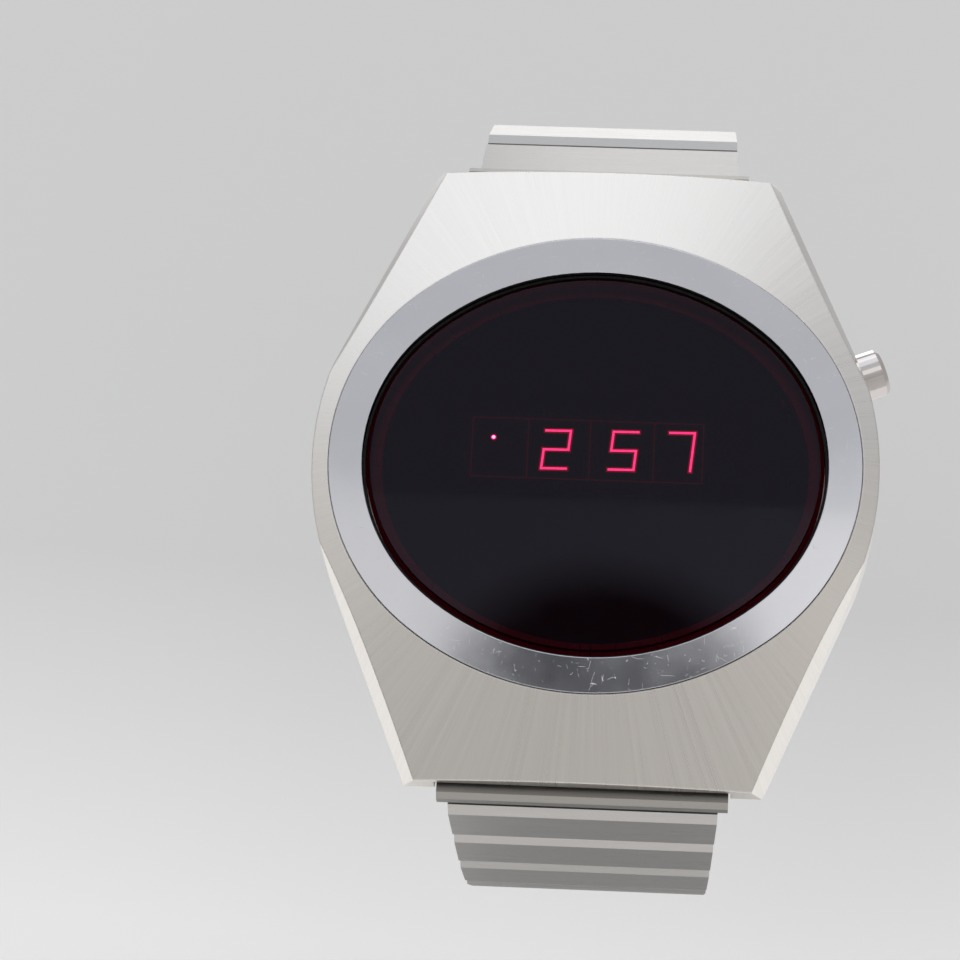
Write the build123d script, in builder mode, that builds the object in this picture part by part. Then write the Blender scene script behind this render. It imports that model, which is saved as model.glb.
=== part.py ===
from build123d import *

import os
from math import acos, atan2, cos, degrees, dist, pi, radians, sin, sqrt, tan

# A wristwatch of the 1970s with a red light-emitting display, on a tapered bar-link bracelet.
# The origin is the middle of the case back's outer face. +Z leaves the face, +Y points to
# 12 o'clock and +X to 3 o'clock. Lengths are in millimetres and angles in degrees.

# Case
case_length = 44.5
case_width = 39.3
side_radius = 22.4
lug_tip_width = 2.15
face_height = 9.5
face_slope = 19.6
face_depth = 3.7
girdle_height = 4.0
belly_taper = 20.0
facet_heel_width = 0.35
facet_tip_width = 0.75
facet_drop = 1.75
underside_land = 0.9
underside_tip_rise = 0.8
underside_bulge = 0.35

# Ring, crystal and gasket
ring_side_land = 1.2
ring_end_land = 5.8
ring_side_band = 2.3
ring_end_band = 2.5
ring_thickness = 1.0
ring_stand = 0.1
crystal_thickness = 1.75
crystal_recess = 0.12
crystal_gap = 0.28
crystal_bevel_width = 0.65
crystal_bevel_drop = 0.3
gasket_recess = 0.45
window_ledge = 1.35
window_ledge_thickness = 0.98

# Cavity and case back
side_wall = 4.35
slot_wall = 1.45
back_land = 0.7
back_plate = 1.05
back_floor = 0.8
back_edge_break = 0.35
spigot_height = 1.25
spigot_wall = 0.55
seal_width = 0.45
seal_height = 0.6
wrench_notches = 6
notch_width = 2.4
notch_length = 1.3
notch_depth = 0.55

# Band slot, hood and spring bars
slot_width = 20.3
slot_room = 2.65
hood_thickness = 0.6
hood_root_drop = 2.75
bar_setback = 2.85
bar_drop = 5.6
bar_radius = 0.85
bar_tip_radius = 0.4
bar_tip_depth = 1.1
bar_hole_depth = 1.3

# Pusher at 2 o'clock
pusher_angle = 21.3
pusher_drop = 4.4
pusher_radius = 1.7
pusher_stand = 1.9
pusher_sink = 0.5
pusher_travel = 0.7
pusher_rim = 0.3
pusher_stem_radius = 0.75
pusher_stem_tail = 0.75
pusher_well_depth = 2.4
pusher_well_gap = 0.08
clip_radius = 1.3
clip_thickness = 0.25
clip_groove_radius = 0.5
clip_gap = 0.05
seal_ring_width = 0.26
seal_inset = 0.85
spring_wire = 0.26
spring_coil_radius = 1.2
spring_turns = 2
wire_sides = 4
turn_share = 0.75

# Module
board_gap = 0.3
board_thickness = 0.8
frame_gap = 0.2
cell_gap = 0.3
cell_rim = 1.03
cell_drop = 5.6
cell_cover = 0.25
cell_clearance = 0.12
display_width = 21.0
display_length = 6.2
display_base = 0.35
display_centre = 1.45
digit_window_width = 3.6
digit_window_length = 4.3
digit_window_rise = 0.25
digit_place_shares = (-0.321, -0.124, 0.083, 0.276)
chip_width_share = 0.467
chip_length_share = 0.333
chip_place_share = 0.507
chip_thickness = 1.3
chip_edge_break = 0.15
pocket_gap = 0.3
quartz_radius_share = 0.067
quartz_length_share = 0.4
quartz_place_shares = (-0.573, 0.4)
trimmer_radius_share = 0.107
trimmer_place_shares = (0.413, 0.62)
trimmer_height = 1.5
trimmer_slot = 0.4
screw_rim = 1.8
screw_count = 4
screw_radius = 0.42
screw_head_radius = 0.8
screw_head_height = 0.5
screw_slot = 0.25
strap_thickness = 0.25
strap_gap = 0.12
strap_floor_gap = 0.18
strap_width = 3.2
strap_arm = 3.0
strap_foot = 2.4
leaf_thickness = 0.2
leaf_width = 2.2
leaf_drop = 2.3
leaf_foot = 1.2

# Fits
slip_fit = 0.05
running_fit = 0.03
seat_gap = 0.05
overrun = 1.0
right_angle = 90.0
small_round_sides = 8
hidden_round_sides = 48
oval_share = 1.045

# Bracelet
end_side_gap = 0.15
end_top = 1.7
end_reach = 3.78
end_bevel = 0.4
end_face_foot = 0.28
end_back = 1.3
end_under = 1.3
under_share = 0.67
end_pivot_out = 2.6
end_pivot_drop = 1.0
link_pitch = 5.8
link_gap = 0.3
link_face = 1.5
link_bevel_run = 0.7
link_bevel_fall = 0.5
link_side_relief = 15.0
link_step = 1.35
link_taper = 0.4
knuckle_radius = 0.75
knuckle_relief = 0.1
knuckle_web = 1.1
middle_knuckle = 3.0
outer_knuckle = 6.0
knuckle_gap = 0.1
pin_radius = 0.4
pin_end_gap = 0.05
slope_angles_12 = (40, 58, 77, 92, 105, 119, 135)
slope_angles_6 = (83, 84, 89, 100, 112, 126, 141)

# Fold-over clasp
clasp_rise = 1.6
blade_half_width = 6.4
blade_thickness = 0.8
blade_gap = 0.2
cover_gap = 0.15
cover_thickness = 0.9
cover_wall = 0.8
cover_wall_depth = 2.5
cover_side_gap = 0.35
cover_edge_break = 0.4
clasp_knuckle_radius = 0.7
clasp_knuckle_half = 2.4
cover_hinge_place = 2.0
cover_hinge_height = 1.15
fold_hinge_setback = 4.6
fold_hinge_height = 0.15
cover_open_end = 1.2
ear_radius = 1.0
clasp_bar_tip_radius = 0.3
clasp_bar_tip_share = 0.4

os.makedirs("parts", exist_ok=True)


def write(piece, name):
    """Labels a finished piece and writes it under its name."""
    piece.part.label = name
    export_step(piece.part, f"parts/{name}.step")


# Plan of the case: the ring, the crystal's opening and the window keep their lands inside it
ring_width = case_width - ring_side_land * 2
ring_length = case_length - ring_end_land * 2
opening_width = ring_width - ring_side_band * 2
opening_length = ring_length - ring_end_band * 2
window_width = opening_width - window_ledge * 2
window_length = opening_length - window_ledge * 2
face_x = ring_width / 2
face_y = ring_length / 2
slot_half = slot_width / 2
tip_y = case_length / 2
tip_x = slot_half + lug_tip_width
side_centre = case_width / 2 - side_radius
# each lug's side leaves the round side at a tangent
tip_distance = dist((side_centre, 0), (tip_x, tip_y))
lug_angle = degrees(atan2(tip_y, tip_x - side_centre) - acos(side_radius / tip_distance))
heel_x = side_centre + side_radius * cos(radians(lug_angle))
heel_y = side_radius * sin(radians(lug_angle))
bar_reach = tip_y - bar_setback
slot_root = bar_reach - slot_room
# the cavity is as wide as the side walls and the band slots allow
cavity_radius = min(case_width / 2 - side_wall, slot_root - slot_wall)
back_radius = cavity_radius + back_land
underside_root = back_radius + underside_land
board_radius = cavity_radius - board_gap

# Heights, from the face down and from the case back up
ring_floor = face_height + ring_stand - ring_thickness
crystal_top = face_height + ring_stand - crystal_recess
crystal_floor = crystal_top - crystal_thickness
crystal_seat = crystal_floor - seat_gap
cavity_roof = crystal_seat - window_ledge_thickness
board_top = cavity_roof - seat_gap
board_floor = board_top - board_thickness
frame_top = board_floor - seat_gap
body_floor = back_plate + seat_gap
spigot_top = back_plate + spigot_height
frame_floor = spigot_top + frame_gap
strap_top = back_floor + strap_floor_gap + strap_thickness
cell_floor = strap_top + strap_gap
cell_thickness = frame_top - cell_cover - cell_floor
bar_height = face_height - bar_drop
hood_root_height = face_height - hood_root_drop
underside_tip_height = bar_height + underside_tip_rise
pusher_height = face_height - pusher_drop

# A small round is drawn with few sides, and its bore is that much larger for its flats to clear.
# The wide rounds that are hidden inside the case have more sides.
bore_spread = 1 / cos(pi / small_round_sides)


def oval_arcs(half_x, half_y):
    """Radii and centres of the four arcs that make an oval close to an ellipse."""
    side = oval_share * half_y**2 / half_x
    end = (half_x**2 + half_y**2 - half_x * side * 2) / (half_y - side) / 2
    return side, end, half_x - side, half_y - end


def oval(half_x, half_y):
    """A smooth oval of four arcs, as the ring, the crystal and their openings have."""
    side, end, side_middle, end_middle = oval_arcs(half_x, half_y)
    reach = side / (end - side)
    x = side_middle + side_middle * reach
    y = -end_middle * reach
    with BuildSketch() as shape:
        with BuildLine():
            ThreePointArc((x, -y), (half_x, 0), (x, y))
            ThreePointArc((x, y), (0, half_y), (-x, y))
            ThreePointArc((-x, y), (-half_x, 0), (-x, -y))
            ThreePointArc((-x, -y), (0, -half_y), (x, -y))
        make_face()
    return shape.sketch


def face_fall(x, y):
    """How far the sloping face has fallen where it passes over (x, y)."""
    side, end, side_middle, end_middle = oval_arcs(face_x, face_y)
    if x * end_middle - side_middle * (end_middle - y) < 0:
        outside = dist((x, y), (side_middle, 0)) - side
    else:
        outside = dist((x, y), (0, end_middle)) - end
    return outside * tan(radians(face_slope))


# Case middle: the outline in plan
with BuildSketch() as case_outline:
    with BuildLine():
        ThreePointArc((heel_x, -heel_y), (case_width / 2, 0), (heel_x, heel_y))
        Polyline((heel_x, heel_y), (tip_x, tip_y), (-tip_x, tip_y), (-heel_x, heel_y))
        ThreePointArc((-heel_x, heel_y), (-case_width / 2, 0), (-heel_x, -heel_y))
        Polyline((-heel_x, -heel_y), (-tip_x, -tip_y), (tip_x, -tip_y), (heel_x, -heel_y))
    make_face()

pusher_direction = Vector(cos(radians(pusher_angle)), sin(radians(pusher_angle)), 0)
pusher_mouth = Vector(side_centre, 0, pusher_height) + pusher_direction * side_radius
pusher_plane = Plane(origin=pusher_mouth, x_dir=(0, 0, 1), z_dir=pusher_direction)
# from the mouth to the cavity, measured where the clip's rim meets the cavity's round wall
clip_offset = abs(side_centre * pusher_direction.Y) + clip_radius
pusher_reach = side_radius + side_centre * pusher_direction.X
pusher_wall = pusher_reach - sqrt(cavity_radius**2 - clip_offset**2)


def lug_facet(side, end):
    """The plane of the polished bevel along one lug, facing outwards."""
    heel_in = facet_heel_width * cos(radians(lug_angle))
    heel_back = facet_heel_width * sin(radians(lug_angle))
    heel = Vector(heel_x - heel_in, heel_y - heel_back, face_height)
    heel -= Vector(0, 0, face_fall(heel.X, heel.Y))
    tip = Vector(tip_x - facet_tip_width, tip_y, face_height)
    tip -= Vector(0, 0, face_fall(tip.X, tip.Y))
    foot = Vector(tip_x, tip_y, tip.Z - facet_drop)
    outward = (tip - heel).cross(foot - tip)
    if outward.X < 0:
        outward = -outward
    flip = Vector(side, end, 1)
    origin = Vector(tip.X * flip.X, tip.Y * flip.Y, tip.Z)
    return Plane(origin=origin, z_dir=(outward.X * flip.X, outward.Y * flip.Y, outward.Z))


with BuildPart() as mid_case:
    # the face, which slopes away from the ring all round, trimmed to the outline
    with BuildSketch(Plane.XY.offset(face_height)):
        add(oval(face_x, face_y))
    extrude(amount=-face_depth, taper=face_slope - right_angle)
    with BuildSketch(Plane.XY.offset(face_height - face_depth)):
        add(case_outline.sketch)
    extrude(amount=face_depth, mode=Mode.INTERSECT)
    # upright sides and tapering belly
    with BuildSketch(Plane.XY.offset(girdle_height)):
        add(case_outline.sketch)
    extrude(amount=face_height - face_depth - girdle_height)
    with BuildSketch(Plane.XY.offset(girdle_height)):
        add(case_outline.sketch)
    extrude(amount=body_floor - girdle_height, taper=belly_taper)
    for side in (-1, 1):
        for end in (-1, 1):
            split(bisect_by=lug_facet(side, end), keep=Keep.BOTTOM)
    # ring recess, crystal seat, window and module cavity
    with BuildSketch(Plane.XY.offset(ring_floor)):
        add(oval(face_x + slip_fit, face_y + slip_fit))
    extrude(amount=ring_thickness + overrun, mode=Mode.SUBTRACT)
    with BuildSketch(Plane.XY.offset(crystal_seat)):
        add(oval(opening_width / 2, opening_length / 2))
    extrude(amount=face_height, mode=Mode.SUBTRACT)
    with BuildSketch(Plane.XY.offset(cavity_roof)):
        add(oval(window_width / 2, window_length / 2))
    extrude(amount=face_height, mode=Mode.SUBTRACT)
    with BuildSketch(Plane.XY.offset(-overrun)):
        Circle(cavity_radius)
    extrude(amount=cavity_roof + overrun, mode=Mode.SUBTRACT)
    for end in (-1, 1):
        # lug undersides, a shallow arc from the case back to the tip
        middle_y = (underside_root + tip_y) / 2
        middle_z = (body_floor + underside_tip_height) / 2 - underside_bulge
        with BuildSketch(Plane.YZ):
            with BuildLine():
                ThreePointArc(
                    (end * underside_root, body_floor),
                    (end * middle_y, middle_z),
                    (end * tip_y, underside_tip_height),
                )
                Polyline(
                    (end * tip_y, underside_tip_height),
                    (end * (tip_y + overrun), underside_tip_height),
                    (end * (tip_y + overrun), -overrun),
                    (end * underside_root, -overrun),
                    (end * underside_root, body_floor),
                )
            make_face()
        extrude(amount=case_width, both=True, mode=Mode.SUBTRACT)
        # the band slot under its hood
        hood_lip = face_height - face_fall(slot_half, tip_y) - hood_thickness
        with BuildSketch(Plane.YZ):
            with BuildLine():
                Polyline(
                    (end * slot_root, -overrun),
                    (end * slot_root, hood_root_height),
                    (end * tip_y, hood_lip),
                    (end * (tip_y + overrun), hood_lip),
                    (end * (tip_y + overrun), -overrun),
                    close=True,
                )
            make_face()
        extrude(amount=slot_half, both=True, mode=Mode.SUBTRACT)
        with BuildSketch(Plane.YZ):
            with Locations((end * bar_reach, bar_height)):
                RegularPolygon((bar_tip_radius + slip_fit) * bore_spread, small_round_sides)
        extrude(amount=slot_half + bar_hole_depth, both=True, mode=Mode.SUBTRACT)
    # pusher well and stem hole
    with BuildSketch(pusher_plane.offset(-pusher_well_depth)):
        Circle(pusher_radius + pusher_well_gap)
    extrude(amount=pusher_well_depth + overrun, mode=Mode.SUBTRACT)
    with BuildSketch(pusher_plane):
        RegularPolygon((pusher_stem_radius + running_fit) * bore_spread, small_round_sides)
    extrude(amount=-(pusher_wall + overrun), mode=Mode.SUBTRACT)
write(mid_case, "mid_case")

# Bezel ring: flat, polished, let into the face
with BuildPart() as bezel_ring:
    with BuildSketch(Plane.XY.offset(ring_floor)):
        add(oval(face_x, face_y))
        add(oval(opening_width / 2, opening_length / 2), mode=Mode.SUBTRACT)
    extrude(amount=ring_thickness)
write(bezel_ring, "bezel_ring")

# Crystal: dark red filter glass with a bevelled rim, held in a ring gasket
crystal_x = opening_width / 2 - crystal_gap
crystal_y = opening_length / 2 - crystal_gap
with BuildPart() as crystal:
    with BuildSketch(Plane.XY.offset(crystal_floor)):
        add(oval(crystal_x, crystal_y))
    extrude(amount=crystal_thickness)
    rim = crystal.faces().sort_by(Axis.Z)[-1].edges()
    top_face = crystal.faces().sort_by(Axis.Z)[-1]
    chamfer(rim, crystal_bevel_drop, crystal_bevel_width, reference=top_face)
write(crystal, "crystal")

with BuildPart() as crystal_gasket:
    with BuildSketch(Plane.XY.offset(crystal_seat)):
        add(oval(opening_width / 2 - slip_fit, opening_length / 2 - slip_fit))
    extrude(amount=crystal_top - gasket_recess - crystal_seat)
    with BuildSketch(Plane.XY.offset(crystal_seat)):
        add(oval(crystal_x + slip_fit, crystal_y + slip_fit))
    extrude(amount=crystal_thickness, mode=Mode.SUBTRACT)
write(crystal_gasket, "crystal_gasket")

# Case back: a plate with wrench notches, and a spigot inside its seal
spigot_radius = cavity_radius - slip_fit - seal_width
with BuildPart() as case_back:
    with BuildSketch(Plane.XZ):
        with BuildLine():
            Polyline(
                (0, 0),
                (back_radius - back_edge_break, 0),
                (back_radius, back_edge_break),
                (back_radius, back_plate),
                (spigot_radius, back_plate),
                (spigot_radius, spigot_top),
                (spigot_radius - spigot_wall, spigot_top),
                (spigot_radius - spigot_wall, back_floor),
                (0, back_floor),
                close=True,
            )
        make_face()
    revolve(axis=Axis.Z)
    with BuildSketch():
        with PolarLocations(back_radius, wrench_notches):
            Rectangle(notch_length * 2, notch_width)
    extrude(amount=notch_depth, mode=Mode.SUBTRACT)
write(case_back, "case_back")

seal_bore = (spigot_radius + running_fit) / cos(pi / hidden_round_sides)
with BuildPart() as case_back_gasket:
    with BuildSketch(Plane.XY.offset(back_plate + slip_fit)):
        RegularPolygon(cavity_radius - running_fit / 2, hidden_round_sides)
        RegularPolygon(seal_bore, hidden_round_sides, mode=Mode.SUBTRACT)
    extrude(amount=seal_height)
write(case_back_gasket, "case_back_gasket")

# Module frame: moulded plastic with wells for the cells and pockets for the parts
head_inner = -pusher_sink
# the clip sits just inside the cavity's wall, where it stops the pusher's return
clip_place = -pusher_wall - clip_gap - clip_thickness
stem_end = clip_place - pusher_stem_tail
leaf_front = stem_end - pusher_travel - slip_fit * 2
leaf_back = leaf_front - leaf_thickness
# the two cells lie side by side and keep the rim inside the board's edge
cell_circle = board_radius - cell_rim
cell_radius = (cell_circle**2 - cell_drop**2 - (cell_gap / 2) ** 2) / (2 * cell_circle + cell_gap)
cell_side = cell_radius + cell_gap / 2
cell_places = ((-cell_side, -cell_drop), (cell_side, -cell_drop))
chip_width = board_radius * chip_width_share
chip_length = board_radius * chip_length_share
chip_place = (0, board_radius * chip_place_share)
quartz_radius = board_radius * quartz_radius_share
quartz_length = board_radius * quartz_length_share
quartz_place = tuple(board_radius * share for share in quartz_place_shares)
trimmer_radius = board_radius * trimmer_radius_share
trimmer_place = tuple(board_radius * share for share in trimmer_place_shares)
screw_circle = board_radius - screw_rim
screw_hole = (screw_radius + slip_fit) * bore_spread
with BuildPart() as module_frame:
    with BuildSketch(Plane.XY.offset(frame_floor)):
        RegularPolygon(board_radius, hidden_round_sides)
        with Locations(cell_places):
            Circle(cell_radius + cell_clearance, mode=Mode.SUBTRACT)
        with PolarLocations(screw_circle, screw_count):
            RegularPolygon(screw_hole, small_round_sides, mode=Mode.SUBTRACT)
    extrude(amount=frame_top - frame_floor)
    with BuildSketch(Plane.XY.offset(frame_top)):
        with Locations(chip_place):
            Rectangle(chip_width + pocket_gap * 2, chip_length + pocket_gap * 2)
        with Locations(trimmer_place):
            RegularPolygon((trimmer_radius + pocket_gap) * bore_spread, small_round_sides)
    extrude(amount=-(trimmer_height + pocket_gap), mode=Mode.SUBTRACT)
    with BuildSketch(Plane.XY.offset(frame_top)):
        with Locations(quartz_place):
            Rectangle((quartz_radius + pocket_gap) * 2, quartz_length + pocket_gap * 2)
    extrude(amount=-(quartz_radius * 2 + pocket_gap), mode=Mode.SUBTRACT)
    # room for the pusher's stem, its clip and the contact leaf
    with BuildSketch(Plane(pusher_plane.origin, x_dir=pusher_direction, z_dir=(0, 0, 1))):
        with Locations((leaf_back - leaf_foot - pocket_gap, 0)):
            Rectangle(
                side_radius,
                (clip_radius + pocket_gap) * 2,
                align=(Align.MIN, Align.CENTER),
            )
    extrude(amount=frame_top - frame_floor, both=True, mode=Mode.SUBTRACT)
write(module_frame, "module_frame")

with BuildPart() as circuit_board:
    with BuildSketch(Plane.XY.offset(board_floor)):
        RegularPolygon(board_radius, hidden_round_sides)
        with PolarLocations(screw_circle, screw_count):
            RegularPolygon(screw_hole, small_round_sides, mode=Mode.SUBTRACT)
    extrude(amount=board_thickness)
    # room for the pusher's clip
    with BuildSketch(Plane(pusher_plane.origin, x_dir=pusher_direction, z_dir=(0, 0, 1))):
        with Locations((clip_place - pusher_travel - pocket_gap, 0)):
            Rectangle(
                side_radius,
                (clip_radius + pocket_gap) * 2,
                align=(Align.MIN, Align.CENTER),
            )
    extrude(amount=board_top, both=True, mode=Mode.SUBTRACT)
write(circuit_board, "circuit_board")

# Display: a carrier with one raised window for each of its four places
with BuildPart() as led_display:
    with BuildSketch(Plane.XY.offset(board_top)):
        with Locations((0, display_centre)):
            Rectangle(display_width, display_length)
    extrude(amount=display_base)
    with BuildSketch(Plane.XY.offset(board_top + display_base)):
        with Locations([(display_width * share, display_centre) for share in digit_place_shares]):
            Rectangle(digit_window_width, digit_window_length)
    extrude(amount=digit_window_rise)
write(led_display, "led_display")

with BuildPart() as controller_chip:
    with BuildSketch(Plane.XY.offset(board_floor - chip_thickness)):
        with Locations(chip_place):
            Rectangle(chip_width, chip_length)
    extrude(amount=chip_thickness)
    chamfer(controller_chip.faces().sort_by(Axis.Z)[0].edges(), chip_edge_break)
write(controller_chip, "controller_chip")

with BuildPart() as quartz_can:
    with BuildSketch(Plane.XZ.offset(-quartz_place[1])):
        with Locations((quartz_place[0], board_floor - quartz_radius)):
            RegularPolygon(quartz_radius, small_round_sides)
    extrude(amount=quartz_length / 2, both=True)
write(quartz_can, "quartz_can")

with BuildPart() as trimmer:
    with BuildSketch(Plane.XY.offset(board_floor - trimmer_height)):
        with Locations(trimmer_place):
            RegularPolygon(trimmer_radius, small_round_sides)
    extrude(amount=trimmer_height)
    with BuildSketch(Plane.XY.offset(board_floor - trimmer_height)):
        with Locations(trimmer_place):
            Rectangle(trimmer_radius, trimmer_slot)
    extrude(amount=trimmer_slot, mode=Mode.SUBTRACT)
write(trimmer, "trimmer")

# Two button cells side by side, with the strap that joins them
with BuildPart() as battery_cells:
    with BuildSketch(Plane.XY.offset(cell_floor)):
        with Locations(cell_places):
            Circle(cell_radius)
    extrude(amount=cell_thickness)
write(battery_cells, "battery_cells")

with BuildPart() as battery_strap:
    with BuildSketch(Plane.XY.offset(strap_top - strap_thickness)):
        with Locations((0, -cell_drop)):
            Rectangle(cell_side * 2 + strap_width, strap_width)
        with Locations((0, -cell_drop)):
            Rectangle(strap_arm, cell_radius + strap_foot, align=(Align.CENTER, Align.MIN))
    extrude(amount=strap_thickness)
    with BuildSketch(Plane.XY.offset(strap_top)):
        with Locations((0, cell_radius - cell_drop + strap_foot)):
            Rectangle(strap_arm, strap_foot, align=(Align.CENTER, Align.MAX))
    extrude(amount=frame_floor - seat_gap - strap_top)
write(battery_strap, "battery_strap")

# Contact leaf that the pusher's stem closes
with BuildPart() as contact_leaf:
    leaf_plane = pusher_plane.offset(leaf_back)
    leaf_top = board_floor - seat_gap - pusher_height
    with BuildSketch(leaf_plane):
        with Locations((leaf_top, 0)):
            Rectangle(leaf_drop, leaf_width, align=(Align.MAX, Align.CENTER))
    extrude(amount=leaf_thickness)
    with BuildSketch(leaf_plane):
        with Locations((leaf_top, 0)):
            Rectangle(leaf_thickness, leaf_width, align=(Align.MAX, Align.CENTER))
    extrude(amount=-leaf_foot)
write(contact_leaf, "contact_leaf")

# The screws' heads bear on the frame's floor
with BuildPart() as module_screws:
    with BuildSketch(Plane.XY.offset(frame_floor - seat_gap - screw_head_height)):
        with PolarLocations(screw_circle, screw_count):
            RegularPolygon(screw_head_radius, small_round_sides)
    extrude(amount=screw_head_height)
    with BuildSketch(Plane.XY.offset(frame_floor - seat_gap)):
        with PolarLocations(screw_circle, screw_count):
            RegularPolygon(screw_radius, small_round_sides)
    extrude(amount=board_top - frame_floor + seat_gap)
    with BuildSketch(Plane.XY.offset(frame_floor - seat_gap - screw_head_height)):
        with PolarLocations(screw_circle, screw_count):
            Rectangle(screw_head_radius * 2, screw_slot)
    extrude(amount=screw_slot, mode=Mode.SUBTRACT)
write(module_screws, "module_screws")

# Pusher: a round button on a stem, with a clip, a seal and a return spring
seal_seat = -pusher_well_depth - seal_inset
with BuildPart() as pusher:
    with BuildSketch(pusher_plane.offset(head_inner)):
        Circle(pusher_radius)
    extrude(amount=pusher_stand + pusher_sink)
    outer_rim = pusher.faces().sort_by(Axis(pusher_mouth, pusher_direction))[-1].edges()
    chamfer(outer_rim, pusher_rim)
    with BuildSketch(pusher_plane.offset(stem_end)):
        RegularPolygon(pusher_stem_radius, small_round_sides)
    extrude(amount=head_inner - stem_end)
    for place, width in ((clip_place, clip_thickness), (seal_seat, seal_ring_width)):
        with BuildSketch(pusher_plane.offset(place - slip_fit)):
            Circle(pusher_stem_radius)
            RegularPolygon(clip_groove_radius, small_round_sides, mode=Mode.SUBTRACT)
        extrude(amount=width + slip_fit * 2, mode=Mode.SUBTRACT)
write(pusher, "pusher")

groove_bore = (clip_groove_radius + running_fit) * bore_spread
with BuildPart() as pusher_clip:
    with BuildSketch(pusher_plane.offset(clip_place)):
        RegularPolygon(clip_radius, small_round_sides)
        RegularPolygon(groove_bore, small_round_sides, mode=Mode.SUBTRACT)
        with Locations((0, clip_radius)):
            Rectangle(clip_groove_radius * 2, clip_radius, mode=Mode.SUBTRACT)
    extrude(amount=clip_thickness)
write(pusher_clip, "pusher_clip")

with BuildPart() as pusher_seal:
    with BuildSketch(pusher_plane.offset(seal_seat)):
        RegularPolygon(pusher_stem_radius + running_fit / 2, small_round_sides)
        RegularPolygon(groove_bore, small_round_sides, mode=Mode.SUBTRACT)
    extrude(amount=seal_ring_width)
write(pusher_seal, "pusher_seal")

spring_length = pusher_well_depth + head_inner - spring_wire - slip_fit * 2
spring_foot = pusher_plane.offset(-pusher_well_depth + spring_wire / 2 + slip_fit).origin
with BuildPart() as pusher_spring:
    with BuildLine() as coil:
        Helix(
            spring_length / spring_turns,
            spring_length,
            spring_coil_radius,
            center=spring_foot,
            direction=pusher_direction,
        )
    with BuildSketch(Plane(origin=coil.line @ 0, z_dir=coil.line % 0)):
        RegularPolygon(spring_wire / 2, wire_sides)
    sweep(path=coil.line, is_frenet=True)
write(pusher_spring, "pusher_spring")
steps = 24
away = int(steps * turn_share)
along_coil = [coil.line @ (i / steps / spring_turns) for i in range(steps * spring_turns + 1)]
apart = [
    (along_coil[i] - along_coil[j]).length
    for i in range(len(along_coil))
    for j in range(i - away)
]
print(f"pusher_spring: least gap to itself {min(apart) - spring_wire:.2f} mm")

end_link_width = slot_width - end_side_gap * 2
link_start_width = end_link_width - link_step
# Spring bars between the lugs
for end, hour in ((1, 12), (-1, 6)):
    with BuildPart() as spring_bar:
        with BuildSketch(Plane.YZ):
            with Locations((end * bar_reach, bar_height)):
                RegularPolygon(bar_radius, small_round_sides)
        extrude(amount=end_link_width / 2, both=True)
        with BuildSketch(Plane.YZ):
            with Locations((end * bar_reach, bar_height)):
                RegularPolygon(bar_tip_radius, small_round_sides)
        extrude(amount=slot_half + bar_tip_depth, both=True)
    write(spring_bar, f"spring_bar_{hour}")

# Bracelet: hinge barrels alternate across each pivot
middle_span = [(-middle_knuckle, middle_knuckle)]
outer_spans = [
    (-outer_knuckle, -middle_knuckle - knuckle_gap),
    (middle_knuckle + knuckle_gap, outer_knuckle),
]


def side_plane(end, pivot, slope):
    """A plane square to X at a pivot, its x along the link and its y away from the wrist."""
    along = (0, end * cos(radians(slope)), -sin(radians(slope)))
    return Plane(origin=(0, *pivot), x_dir=along, z_dir=(end, 0, 0))


def round_bars(plane, place, radius, spans, mode=Mode.ADD):
    """Round bars across the bracelet, one for each span of its width."""
    for low, high in spans:
        with BuildSketch(plane.offset(low)) as disc:
            with Locations(place):
                RegularPolygon(radius, small_round_sides)
        extrude(disc.sketch, amount=high - low, mode=mode)


def reliefs(plane, place, spans):
    """Room for the neighbour's barrels round a pivot."""
    wider = [(low - knuckle_gap / 2, high + knuckle_gap / 2) for low, high in spans]
    round_bars(
        plane, place, (knuckle_radius + knuckle_relief) * bore_spread, wider, Mode.SUBTRACT
    )


def pin_bore(plane, place, radius, half):
    """A running bore for a hinge pin."""
    bore = (radius + running_fit) * bore_spread
    round_bars(plane, place, bore, [(-half, half)], Mode.SUBTRACT)


def hinge_pin(plane, place, radius, half, name):
    """One hinge pin, a little shorter than its barrels are wide."""
    with BuildPart() as pin:
        round_bars(plane, place, radius, [(pin_end_gap - half, half - pin_end_gap)])
    write(pin, name)


def end_link(end, name):
    """The link between the lugs, which turns on its spring bar."""
    plane = side_plane(end, (end * bar_reach, bar_height), 0)
    pivot = (end_pivot_out, -end_pivot_drop)
    with BuildPart() as link:
        with BuildSketch(plane):
            with BuildLine():
                Polyline(
                    (-end_back, end_top - end_bevel / 2),
                    (end_reach - end_bevel, end_top),
                    (end_reach, end_top - end_bevel),
                    (end_reach, end_face_foot),
                    (end_reach / 2, end_face_foot - seat_gap),
                    (end_under * under_share, -end_under),
                    (-end_back * under_share, -end_under),
                    (-end_back, -end_under / 2),
                    close=True,
                )
            make_face()
        extrude(amount=end_link_width / 2, both=True)
        for low, high in outer_spans:
            with BuildSketch(plane.offset(low)):
                with BuildLine():
                    Polyline(
                        (pivot[0], pivot[1] + knuckle_radius),
                        (pivot[0] - knuckle_web, end_face_foot),
                        (0, 0),
                        (end_under / 2, -end_under),
                        (pivot[0] - knuckle_radius * under_share, pivot[1] - knuckle_radius / 2),
                        close=True,
                    )
                make_face()
            extrude(amount=high - low)
        round_bars(plane, pivot, knuckle_radius, outer_spans)
        pin_bore(plane, (0, 0), bar_radius, end_link_width)
        pin_bore(plane, pivot, pin_radius, outer_knuckle)
    write(link, name)


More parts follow.
